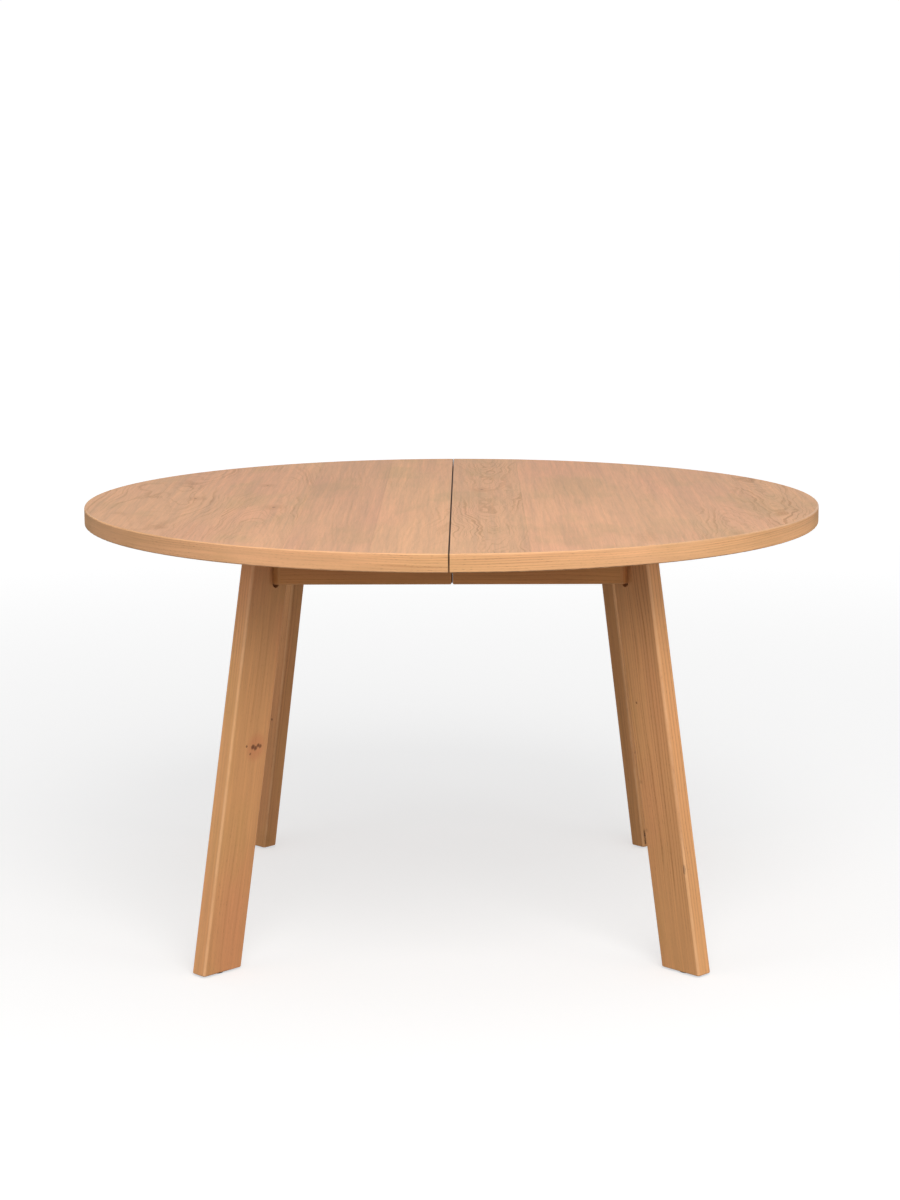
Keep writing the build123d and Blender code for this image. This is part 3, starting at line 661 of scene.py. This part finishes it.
def moulded(name, tone, scuff_tone, roughness, seed, grain=900.0, relief=0.00008):
    """Moulded plastic or felt: fine grain, faint mottling, scuffs and lighter edges."""
    g = Graph(name)
    x, y, z = g.parts(g.place())
    fine = g.noise(g.stretched(x, y, z, grain, grain, seed), 3.0, 0.7)
    mottle = g.noise(g.stretched(x, y, z, 90.0, 90.0, seed), 3.0, 0.5)
    scuff = g.smooth(g.noise(g.stretched(x, y, z, 500.0, 60.0, seed), 3.0, 0.6), 0.56, 0.70)
    worn = g.worn(0.0009)
    colour = g.mix(g.times(mottle, 0.35), linear(*tone), linear(*scuff_tone))
    colour = g.mix(g.times(g.most(scuff, worn), 0.45), colour, linear(*scuff_tone))
    colour = g.scale_colour(colour, g.add(0.85, g.times(fine, 0.3)))
    rough = g.add(roughness, g.times(scuff, 0.12), g.times(worn, -0.08))
    return g.finish(colour, rough, g.bump(fine, relief))


# --- every node gets its material ---------------------------------------------------------------------
def paint(node, material):
    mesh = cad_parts[node].data
    mesh.materials.clear()
    mesh.materials.append(material)


def paint_outside():
    top = timber("oak_top", top_axes, top_cut, TOP_TONES, 3.1, TOP_OAK, top_extra)
    edge_cut = sawn(0.19, 0.13, 0.003, 0.012, 0.001, 0.0034)
    rim = timber("oak_edge", rim_axes, edge_cut, RIM_TONES, 8.7, RIM_OAK, rim_extra)
    for side in ("left", "right"):
        paint(f"{side}_top_panel", top)
        paint(f"{side}_edge_lipping", rim)
    for number, name in enumerate(("left_front", "right_front", "left_back", "right_back")):
        leg = LegFrame(-1 if "left" in name else 1, -1 if "front" in name else 1)
        pith = leg.outer + 0.16 + 0.03 * number
        cut = {**sawn(pith, 0.16, 0.004, 0.012, 0.001, 0.0052), "contrast": 0.85}
        seed, extra = 11.3 + 7.9 * number, leg_extra(name, leg)
        paint(f"{name}_leg", timber(f"oak_{name}_leg", leg.axes, cut, LEG_TONES, seed, OAK, extra))
    rail_cut = sawn(0.86, 0.12, 0.004, 0.014, 0.002, 0.0036)
    block_cut = sawn(0.60, 0.30, 0.004, 0.01, 0.002, 0.0036)
    long_rail, end_rail, block = (
        timber(name, axes_along(order), cut, RAIL_TONES_SHADED, seed, OAK, rail_extra)
        for name, order, cut, seed in (
            ("oak_long_rail", "zxy", rail_cut, 51.0),
            ("oak_end_rail", "zyx", rail_cut, 57.0),
            ("oak_corner_block", "xzy", block_cut, 63.0),
        )
    )
    for side in ("left", "right"):
        paint(f"{side}_end_rail", end_rail)
        for end in ("front", "back"):
            paint(f"{side}_{end}_rail", long_rail)
            paint(f"{side}_{end}_corner_block", block)


def paint_inside():
    beech_cut = sawn(0.95, 0.20, 0.004, 0.012, 0.001, 0.0026)
    cross_cut = sawn(0.35, 0.20, 0.004, 0.012, 0.001, 0.0026)
    beech_x, beech_y, dowel = (
        timber(name, axes_along(order), cut, BEECH_TONES, seed, BEECH)
        for name, order, cut, seed in (
            ("beech_bearer", "zxy", beech_cut, 71.0),
            ("beech_cross_rail", "xyz", cross_cut, 77.0),
            ("beech_dowel", "zxy", beech_cut, 83.0),
        )
    )
    long_lines = (3.0, 1500.0, 1500.0)
    even_lines = (420.0, 420.0, 420.0)
    slide = metal("zinc_slide", (196, 200, 204), (166, 170, 176), 0.34, long_lines, 3.0)
    cage = metal("cage_steel", (178, 180, 182), (140, 142, 146), 0.38, long_lines, 4.0)
    screw = metal("zinc_screw", (206, 205, 196), (168, 166, 158), 0.30, even_lines, 5.0)
    bolt = metal("zinc_bolt", (198, 199, 196), (158, 158, 154), 0.33, even_lines, 6.0)
    brass = metal("brass", (212, 172, 98), (164, 128, 70), 0.30, even_lines, 7.0)
    coat = metal("black_coat", (38, 38, 39), (30, 30, 31), 0.50, even_lines, 8.0, 0.0, 1.0)
    nylon = moulded("nylon_glide", (58, 50, 44), (96, 86, 76), 0.55, 9.0)
    felt = moulded("felt", (34, 29, 26), (60, 52, 46), 0.95, 10.0, 2400.0, 0.0003)
    for side in ("left", "right"):
        paint(f"{side}_cross_rail", beech_y)
        paint(f"{side}_dowels", dowel)
        paint(f"{side}_glides", nylon)
        paint(f"{side}_leg_inserts", brass)
        for end in ("front", "back"):
            paint(f"{side}_{end}_slide_bearer", beech_x)
        for part in ("leg_bolts", "leg_washers"):
            paint(f"{side}_{part}", bolt)
        for part in ("top_screws", "slide_screws", "lock_screws"):
            paint(f"{side}_{part}", screw)
    for end in ("front", "back"):
        for part in ("outer", "middle", "inner"):
            paint(f"{end}_slide_{part}", slide)
        for part in ("outer_cage", "inner_cage"):
            paint(f"{end}_slide_{part}", cage)
        paint(f"{end}_lock_lever", coat)
    paint("left_lock_bases", coat)
    paint("right_lock_keepers", coat)
    paint("left_lock_pivots", screw)
    paint("left_seam_pins", brass)
    paint("left_rail_pads", felt)


make_camera()
make_studio()
paint_outside()
paint_inside()
